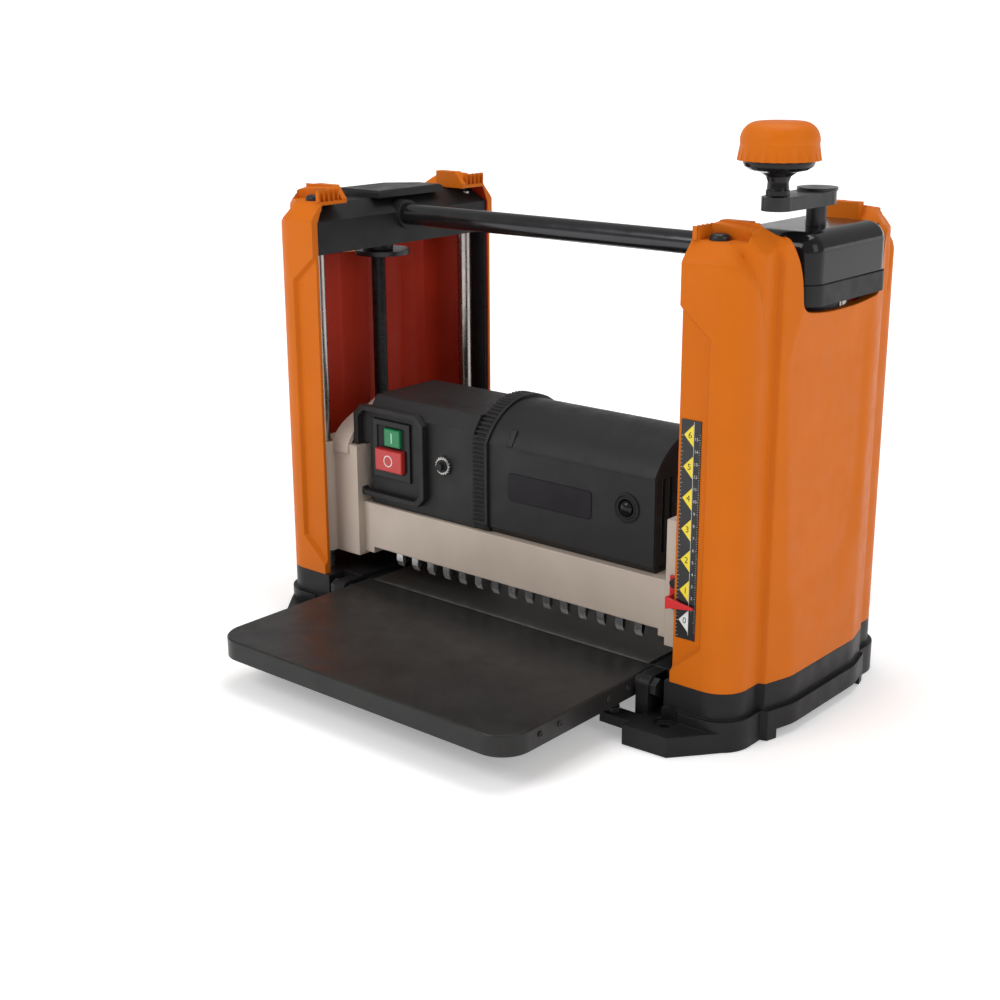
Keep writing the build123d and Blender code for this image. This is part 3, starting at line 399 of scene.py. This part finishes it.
def merged(name, things):
    """One object out of several."""
    shape = bmesh.new()
    for thing in things:
        shape.from_mesh(thing.data)
        bpy.data.objects.remove(thing)
    mesh = bpy.data.meshes.new(name)
    shape.to_mesh(mesh)
    shape.free()
    return new_object(name, mesh)


def smoothstep(t):
    t = min(max(t, 0.0), 1.0)
    return t * t * (3 - 2 * t)


def along(value, table):
    """Straight-line interpolation in a table of (key, value) pairs."""
    if value <= table[0][0]:
        return table[0][1]
    for (k0, v0), (k1, v1) in zip(table, table[1:]):
        if value <= k1:
            return v0 + (v1 - v0) * (value - k0) / (k1 - k0)
    return table[-1][1]


def rounded_path(points, radii, step):
    """An open path of closely spaced (x, y) points with its corners rounded."""
    path = [Vector(points[0])]
    for before, here, after, r in zip(points, points[1:], points[2:], radii):
        here = Vector(here)
        back, ahead = (Vector(before) - here).normalized(), (Vector(after) - here).normalized()
        turn = back.angle(ahead)
        reach = r / tan(turn / 2)
        middle = here + (back + ahead).normalized() * r / sin(turn / 2)
        start, end = here + back * reach - middle, here + ahead * reach - middle
        count = max(int(r * (pi - turn) / step), 2)
        swing = start.angle_signed(end)
        for n in range(count + 1):
            path.append(middle + Matrix.Rotation(-swing * n / count, 2) @ start)
    path.append(Vector(points[-1]))
    dense = [path[0]]
    for point in path[1:]:
        start, span = dense[-1], point - dense[-1]
        count = max(int(span.length / step), 1)
        dense += [start + span * (n + 1) / count for n in range(count)]
    return dense


# ---- orange covers ------------------------------------------------------------------------------

COVER_LOW, COVER_HIGH, COVER_INNER = 49.0, 417.0, 201.0
HOLLOW_TOP = COVER_HIGH - 16
POCKET_FLOOR = 404.0
NOTCH_SHIFT = 9.0
HUMP_Y, HUMP_Z = -33.0, 169.0
HUMP_REACH, HUMP_RISE, HUMP_WALL = 70.0, 37.0, 5.0
TOP_ROUND = 8.0
SLOPE, SLOPE_MOST = 0.9, 12.5
SLOPE_FOOT = [(0, 389), (30, 390), (38, 389), (46, 386.5), (52, 383), (58, 378.5), (63, 373), (67, 365),
              (70, 350), (72, 330)]
SHOULDER_FOOT = [(52, 392), (73, 395), (86, 400), (100, 406), (114, 414)]
SCOOP_FLOOR = [(84, 270.6), (128, 268.6), (310, 265.5), (335, 267.5), (350, 269)]
SCOOP_INNER = [(100, -20), (126, 4), (149, 28), (200, 38), (252, 44), (344, 47)]
SCOOP_OUTER = [(84, 5), (94, 42), (170, 58), (257, 70), (344, 74)]


def cover_relief(run, x, y, z):
    """How far in from the plain outline the cover's outer face lies.

    run is the distance round the outline.
    """
    depth = 0.0
    if z > COVER_HIGH - TOP_ROUND:
        rise = (z - COVER_HIGH + TOP_ROUND) / TOP_ROUND
        depth += TOP_ROUND * (1 - (1 - min(rise, 1.0) ** 2) ** 0.5)
    # the wing's top slopes back from its front face, less and less round the corner
    climb = z - along(run, SLOPE_FOOT)
    if climb > 0 and run < 76:
        depth = max(depth, min(climb * SLOPE, SLOPE_MOST) * smoothstep((76 - run) / 24))
    # the top also falls away over the side, as far as the notch
    climb = z - along(run, SHOULDER_FOOT)
    if climb > 0 and 50 < run < 116:
        depth = max(depth, min(climb * SLOPE, SLOPE_MOST))
    floor = along(z, SCOOP_FLOOR)
    if x > floor and abs(y) < 79 and z > 84:
        inner, outer = along(z, SCOOP_INNER), along(z, SCOOP_OUTER)
        sideways = smoothstep((outer - y) / (outer - inner))
        upward = smoothstep((z - 84) / 46)
        depth += (x - floor) * min(sideways, upward)
    return depth


def cover_skin():
    """The cover's outer form as a closed solid."""
    corner = [(COVER_INNER, -125), (258, -125), (258, -82), (263.5, -80), (271, -52)]
    corner += [(x, -y) for x, y in reversed(corner)]
    path = rounded_path(corner, [26, 1.5, 1.5, 25, 25, 1.5, 1.5, 26], 2.4)
    levels = [COVER_LOW + 3.0 * n for n in range(121)]
    levels += [COVER_HIGH - TOP_ROUND * (1 - sin(n * pi / 16)) for n in range(1, 9)]
    total = sum((there - here).length for here, there in zip(path, path[1:]))
    rings = []
    for z in levels:
        ring, run = [], 0.0
        for i, point in enumerate(path):
            run += (point - path[i - 1]).length if i else 0.0
            nearer = min(run, total - run)
            ahead, behind = path[min(i + 1, len(path) - 1)], path[max(i - 1, 0)]
            way = (ahead - behind).normalized()
            depth = cover_relief(nearer, point.x, point.y, z)
            ring.append((point.x - way.y * depth, point.y + way.x * depth, z))
        rings.append(ring)
    return from_rings("right_cover_shell", rings)


def fluted_outline(corner):
    """Plan of the space inside the cover: a front corner, its mirror image and a fluted wall between."""
    wall = []
    for n in range(61):
        y = -74 + 148 * n / 60
        wave = abs(sin(pi * (y + 74) / 37)) if y < 0 else abs(sin(pi * y / 24.67)) ** 0.5
        wall.append((258.6 + 2.4 * wave, y))
    return corner + wall[1:-1] + [(x, -y) for x, y in reversed(corner)]


def cover_hollow():
    """The space inside the cover; its upper part narrows where the outside slopes back."""
    low = [(190, -118.2), (226, -118.2), (229, -121.6), (237, -120.4), (245, -115.5)]
    low += [(251, -108.5), (254, -100)]
    middle = [(190, -118.2), (226, -118.2), (229, -120), (236, -119), (243, -112.5)]
    middle += [(247.5, -105.5), (252, -99)]
    high = [(190, -111.2), (226, -111.2), (229, -111), (235.5, -109.5), (240, -106.6)]
    high += [(244, -104), (248, -98)]
    side = [(254.8, -86), (254.8, -79), (258.6, -74)]
    outlines = [fluted_outline(front + side) for front in (low, middle, high)]
    solid = prism("hollow", outlines[0], "z", COVER_LOW - 1, 365)
    combine(solid, prism("hollow", outlines[0], "z", 364.9, 385, outlines[1]), "UNION")
    combine(solid, prism("hollow", outlines[1], "z", 384.9, HOLLOW_TOP, outlines[2]), "UNION")
    return solid


def notch_outline():
    """The notch as seen along X: a rounded floor and flanks that flare towards the top."""
    half = [(0, 343.5), (10, 343.6), (20, 344), (32, 345), (44, 346.5), (50, 347.5)]
    half += [(54, 348.9), (57, 351), (59, 354), (59.8, 358), (60.6, 367), (61.6, 374)]
    half += [(63, 380), (64.8, 386), (67, 391), (69.6, 396), (72.5, 400.5)]
    half += [(75.5, 404.8), (79, 408.8), (84, 413), (97, 424)]
    rear = [(y + NOTCH_SHIFT, z) for y, z in half]
    return [(-y, z) for y, z in reversed(half)] + rear


def mirrored_front(thing, cutters):
    """Cuts each prism out of the front and, mirrored, out of the rear."""
    for make in cutters:
        for flip in (1, -1):
            combine(thing, make(flip))


def make_covers():
    shell = cover_skin()
    combine(shell, cover_hollow())
    combine(shell, box_mesh("bridge", 180, 242, -80, 80, 346, 430))
    combine(shell, prism("notch", notch_outline(), "x", 236, 290))
    strip_outer = [(190, 57), (201, 57), (230, 83), (230, 333), (200, 358), (190, 358)]
    strip_inner = [(190, 61), (200.5, 61), (226.4, 84.6), (226.4, 331.4), (199, 354), (190, 354)]
    pocket = [(208, 130), (208, 97), (213, 95), (240, 96), (245, 99), (246, 106), (242, 130)]

    def strip(flip):
        return prism("strip", strip_outer, "y", -126.2 * flip, -121.2 * flip, strip_inner)

    def bolt_pocket(flip):
        return prism("pocket", [(x, -y * flip) for x, y in pocket], "z", POCKET_FLOOR, COVER_HIGH + 1)

    def top_slope(flip):
        low = [(190, -89, 417.5), (262, -89, 412.5), (262, -130, 396), (190, -130, 411)]
        ring = [(x, y * flip, z) for x, y, z in low]
        return from_rings("top", [ring, [(x, y, 430) for x, y, _z in ring]])

    def inner_slope(flip):
        return prism("slope", [(190, 422), (215, 422), (195, 398)], "y", -130 * flip, -79 * flip)

    def bolt_hole(flip):
        return turned("hole", [(5, 395), (5, 420)], (220, -103 * flip, 0))

    def end_opening(flip):
        return box_mesh("end", 190, 206, *sorted((-119 * flip, -86 * flip)), COVER_HIGH - 13, COVER_HIGH - 3)

    mirrored_front(shell, (strip, top_slope, bolt_pocket, inner_slope, bolt_hole, end_opening))
    webs = []
    for flip in (1, -1):
        for n in range(5):
            y = (-113 + 6 * n) * flip
            webs.append(box_mesh("web", 202.5, 206.5, y - 0.8, y + 0.8, COVER_HIGH - 13.2, COVER_HIGH - 2.8))
    combine(shell, merged("webs", webs), "UNION")
    shade(shell, radians(28))
    shell.data.materials.append(FINISHES["orange_plastic"])
    shell.data.materials.append(inside_orange())
    # painted shade: faces inside the cover, towards the bed and the middle, take the darker inner orange
    for face in shell.data.polygons:
        x, y, z = face.center / MM
        below_top = z < HOLLOW_TOP
        side_limit = 261.3 if abs(y) < 78 else 255.3
        faces_bed = face.normal.x < -0.3 and 230 < x < side_limit and abs(y) < 112
        faces_middle = face.normal.y * y < -0.3 * abs(y) and 100 < abs(y) < 121.8 and x < 250
        face.material_index = 1 if below_top and (faces_bed or faces_middle) else 0
    left = mirrored(shell, "left_cover_shell")
    place(shell, "base", "orange_plastic", "right_cover")
    place(left, "base", "orange_plastic", "left_cover")


def inside_orange():
    """Painted shade: the covers' inner face as a deeper, redder copy of the outside orange, standing in for
    the shade inside.
    """
    return surface("orange_inside_painted_shade", (0.44, 0.028, 0.010), 0.5, grain=700, depth=0.00005, mottle=0.08,
                   specular=0.15)


# ---- depth scale --------------------------------------------------------------------------------

SCALE_FACE = -122.0
SCALE_LEFT, SCALE_LINE, SCALE_RIGHT = 203.5, 215.0, 221.5
SCALE_LOW, SCALE_HIGH = 88.0, 268.0
INCH = 25.4
ZERO_MARK = 103.5
INK = 0.06


def plain_paint(name, colour, roughness=0.45):
    return surface(name, colour, roughness, grain=900, depth=0.00001, mottle=0.04)


def ink_bar(x0, x1, z0, z1):
    return box_mesh("ink", x0, x1, SCALE_FACE - INK, SCALE_FACE + 0.3, z0, z1)


def numeral(text, x, z, height, y, stand):
    """A number standing on the plane at y, centred on (x, z)."""
    curve = bpy.data.curves.new("numeral", "FONT")
    curve.body, curve.size = text, height * 1.38 * MM
    curve.align_x, curve.align_y = "CENTER", "CENTER"
    curve.extrude = stand * MM
    source = bpy.data.objects.new("numeral", curve)
    bpy.context.scene.collection.objects.link(source)
    scene_state = bpy.context.evaluated_depsgraph_get()
    mesh = bpy.data.meshes.new_from_object(source.evaluated_get(scene_state))
    bpy.data.objects.remove(source)
    mesh.transform(Matrix.Translation((x * MM, y * MM, z * MM)) @ Matrix.Rotation(pi / 2, 4, "X"))
    return new_object("numeral", mesh)


def make_scale():
    """Inch flags and ticks on the left of the plate, centimetre ticks and numbers on its right."""
    yellow, black, white = [], [], []
    for n in range(7):
        z = ZERO_MARK + INCH * n
        flag = [(SCALE_LINE, z - 9.2), (SCALE_LINE, z + 9.2), (SCALE_LEFT + 2.6, z)]
        flag = prism("flag", flag, "y", SCALE_FACE - INK, SCALE_FACE + 0.3)
        (yellow if n else white).append(flag)
        black.append(numeral(str(n), 211.7, z, 5.2, SCALE_FACE - INK, 0.05))
    for n in range(53):
        z = 90 + INCH / 8 * n
        if z < SCALE_HIGH - 1:
            reach = 2.2 if n % 4 == 0 else 1.3
            white.append(ink_bar(SCALE_LEFT + 0.2, SCALE_LEFT + reach, z - 0.14, z + 0.14))
    white.append(ink_bar(SCALE_LINE, SCALE_LINE + 0.35, SCALE_LOW + 4, SCALE_HIGH - 1))
    for n in range(82):
        z = ZERO_MARK - 8 + 2 * n
        reach = 1.7 if n % 5 == 4 else 0.9
        white.append(ink_bar(SCALE_RIGHT - 0.2 - reach, SCALE_RIGHT - 0.2, z - 0.12, z + 0.12))
    for n in range(1, 16):
        white.append(numeral(str(n), 217.6, ZERO_MARK + 10 * n, 2.6, SCALE_FACE - INK, 0.05))
    layers = (
        ("scale_flags", yellow, (0.85, 0.66, 0.03)),
        ("scale_numbers", black, (0.01, 0.01, 0.01)),
        ("scale_lines", white, (0.75, 0.76, 0.74)),
    )
    for name, pieces, colour in layers:
        print_layer = merged(name, pieces)
        print_layer.data.materials.append(plain_paint(name, colour))
        place(print_layer, "base", "scale_print")


# ---- motor and switches -------------------------------------------------------------------------

MOTOR_FRONT = -88.0
BAND_LEFT, BAND_RIGHT = -40.0, -23.0
FRONT_RIBS, TOP_RIBS = 18, 31


def band_outline(grow, teeth=0.0):
    """The collar's outline in (y, z), with ribs of the given height over its front and top."""
    front, back, crest, shoulder = -91 - grow, 25 + grow, 237.5 + grow, 203
    half, rise = (back - front) / 2, crest - shoulder
    radius = (half ** 2 + rise ** 2) / (2 * rise)
    middle_y, middle_z = front + half, crest - radius
    reach = asin(half / radius)
    outline = [(back, 120), (front + 4, 120), (front, 127)]
    for n in range(4 * FRONT_RIBS):
        z = 128 + (shoulder - 128) * n / (4 * FRONT_RIBS)
        outline.append((front + (teeth if n % 4 > 1 else 0.0), z))
    for n in range(4 * TOP_RIBS + 1):
        angle = -reach + 2 * reach * n / (4 * TOP_RIBS)
        r = radius - (teeth if n % 4 > 1 and n < 3 * TOP_RIBS else 0.0)
        outline.append((middle_y + r * sin(angle), middle_z + r * cos(angle)))
    return outline


def make_band():
    """Ribbed collar between the motor and the switch box, with a plain ring on its right."""
    ribbed = prism("ribbed", band_outline(0, 2.0), "x", BAND_LEFT, BAND_RIGHT - 3)
    ring = prism("ring", band_outline(-0.2), "x", BAND_RIGHT - 3.05, BAND_RIGHT)
    combine(ribbed, ring, "UNION")
    combine(ribbed, prism("bore", band_outline(-6), "x", BAND_LEFT - 1, BAND_RIGHT + 1))
    ribbed.name = "motor_band_ribs"
    shade(ribbed)
    place(ribbed, "carriage", "motor_plastic", "motor_band")


def make_belt_hump():
    """Raised rounded end over the motor pulley, left of the switch box."""
    def arch(grow, x0, x1, foot):
        reach, rise = HUMP_REACH + grow, HUMP_RISE + grow
        angles = [pi * n / 40 for n in range(41)]
        curve = [(HUMP_Y + reach * cos(a), HUMP_Z + rise * sin(a)) for a in angles]
        feet = [(curve[-1][0], foot), (curve[0][0], foot)]
        return prism("belt_hump", curve + feet, "x", x0, x1)

    hump = arch(0, -209, -188, HUMP_Z - 1)
    combine(hump, arch(-HUMP_WALL, -203, -187, HUMP_Z - 2))
    shade(hump)
    place(hump, "carriage", "grey_casting")


def make_motor_trim():
    """Blank name plate, shoulder gusset and the round brush cap."""
    path = [(2, 155), (90, 155), (92, 157), (92, 178), (90, 180), (2, 180), (0, 178), (0, 157)]
    plate = prism("name_plate", path, "y", MOTOR_FRONT - 0.7, MOTOR_FRONT + 0.5)
    plate.data.materials.append(surface("plate_black", (0.009, 0.007, 0.010), 0.4, grain=500, depth=0.00001,
                                        mottle=0.05, specular=0.2))
    place(plate, "carriage", "black_plastic")
    gusset = from_lists("motor_gusset", [(-2, -88.6, 204), (4, -88.6, 204), (-2, -80, 218), (4, -80, 218),
                                         (-2, -80, 205), (4, -80, 205)],
                        [(0, 1, 3, 2), (0, 2, 4), (1, 5, 3), (0, 4, 5, 1), (2, 3, 5, 4)])
    place(gusset, "carriage", "motor_plastic")
    edge = [(MOTOR_FRONT - 1.0, 202.2), (MOTOR_FRONT + 2, 205.6), (MOTOR_FRONT + 3, 202)]
    crease = prism("motor_crease", edge, "x", -6, 156.5)
    place(crease, "carriage", "motor_plastic")
    x, z = 129, 173
    rim = [(12.8, 0.4), (12.8, -1.2), (12.0, -1.8), (11.2, -1.8), (10.4, -0.8), (9.6, -0.8)]
    rim += [(9.2, -1.6), (8.2, -1.8), (7.6, -0.6), (7.2, 0.4)]
    rings = []
    for n in range(64):
        a, b = cos(2 * pi * n / 64), sin(2 * pi * n / 64)
        rings.append([(x + r * a, MOTOR_FRONT + d, z + r * b) for r, d in rim])
    ring = from_rings("brush_ring", rings, closed=True)
    shade(ring, radians(50))
    place(ring, "carriage", "black_plastic")
    profile = [(0.01, -4.2), (2.2, -4.0), (4.2, -3.2), (5.8, -1.9), (6.8, -0.4), (7.0, 1.0)]
    profile += [(0.01, 1.0)]
    dome = turned("brush_dome", profile, (x, MOTOR_FRONT, z), "y", 48)
    shade(dome, radians(50))
    place(dome, "carriage", "gloss_black", "brush_cap")


def disc_ring(name, centre, outer, inner, y0, y1, segments=48):
    rings = []
    for n in range(segments):
        a, b = cos(2 * pi * n / segments), sin(2 * pi * n / segments)
        rings.append([(centre[0] + r * a, y, centre[1] + r * b)
                      for r, y in ((inner, y0), (outer, y0), (outer, y1), (inner, y1))])
    return from_rings(name, rings, closed=True)


def make_switch_trim():
    """Button symbols, the switch block's gloss frame and the knurled breaker nut."""
    bar = box_mesh("start_mark", -140.0, -138.4, -92.58, -92.3, 183.5, 193.5)
    bar.data.materials.append(plain_paint("pale_green", (0.45, 0.75, 0.55)))
    place(bar, "start_button", "green_button")
    ring = disc_ring("stop_mark", (-142, 166.5), 5.6, 4.5, -95.08, -94.8)
    ring.data.materials.append(plain_paint("pale_ink", (0.85, 0.80, 0.78)))
    place(ring, "stop_button", "red_button")
    frame_outer = box_mesh("switch_frame", -166, -118, -90.2, -88.9, 148, 204)
    combine(frame_outer, box_mesh("opening", -160, -124, -92, -87, 155, 198.5))
    place(frame_outer, "carriage", "gloss_black")
    rings = []
    count = 72
    for n in range(count):
        a, b = cos(2 * pi * n / count), sin(2 * pi * n / count)
        outer = 9.0 if n % 4 < 2 else 8.1
        section = ((3.9, -3.0), (5.6, -3.9), (outer - 0.8, -3.9), (outer, -3.0), (outer, 0), (3.9, 0))
        rings.append([(-76 + r * a, MOTOR_FRONT + d, 173 + r * b) for r, d in section])
    nut = from_rings("breaker_ring", rings, closed=True)
    shade(nut, radians(25))
    place(nut, "carriage", "chrome", "breaker_nut")


# ---- lead screws and small hardware -------------------------------------------------------------

SCREW_X = 242.0
SCREW_LEAD = 2.0


def threaded_screw(name):
    """Right-hand lead screw: helical thread, plain journals and the sprocket at its foot."""
    rings = []
    segments, step = 24, 0.5
    for k in range(int(291 / step) + 1):
        z = 50.5 + k * step
        ring = []
        for n in range(segments):
            turn = n / segments
            phase = (z / SCREW_LEAD - turn) % 1.0
            radius = 6.35 + 1.8 * min(abs(phase - 0.5), 0.45)
            ring.append((SCREW_X + radius * cos(2 * pi * turn), radius * sin(2 * pi * turn), z))
        rings.append(ring)
    thread = from_rings("thread", rings)
    low = turned("low", [(5, 6), (5, 51)], (SCREW_X, 0, 0), "z", 32)
    high = turned("high", [(5, 341), (5, 380)], (SCREW_X, 0, 0), "z", 32)
    teeth = []
    for n in range(14 * 4):
        radius = 15.0 if n % 4 < 2 else 13.0
        teeth.append((SCREW_X + radius * cos(2 * pi * n / 56), radius * sin(2 * pi * n / 56)))
    wheel = prism("wheel", teeth, "z", 10, 14)
    screw = merged(name, [thread, low, high, wheel])
    shade(screw, radians(40))
    return screw


def make_screws():
    right = threaded_screw("right_screw_thread")
    left = mirrored(right, "left_screw_thread")
    place(right, "right_screw", "black_steel", "right_lead_screw")
    place(left, "left_screw", "black_steel", "left_lead_screw")


def make_table_screws():
    """Socket screws along the side edges of both tables."""
    profile = [(2.6, 166), (2.6, 168.9), (2.0, 169.5), (1.2, 169.5), (1.2, 168.6), (0.01, 168.6)]
    half_turn = Matrix.Rotation(pi, 4, "Z")
    for side, body in ((-1, "infeed_table"), (1, "outfeed_table")):
        heads = []
        for sx in (-1, 1):
            for y in (250, 226, 163, 137):
                head = turned("head", profile, (0, side * y, 38), "x", 20)
                if sx < 0:
                    shift = Matrix.Translation((0, -2 * side * y * MM, 0))
                    head.data.transform(half_turn @ shift)
                heads.append(head)
        screws = merged(body + "_screws", heads)
        shade(screws)
        place(screws, body, "black_table")


make_camera()
make_studio()
finish_cad_nodes()
make_covers()
make_scale()
make_band()
make_belt_hump()
make_motor_trim()
make_switch_trim()
make_screws()
make_table_screws()

visual_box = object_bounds()
for low, high in (cad_box, visual_box):
    str([list(low), list(high)]) + "\n"
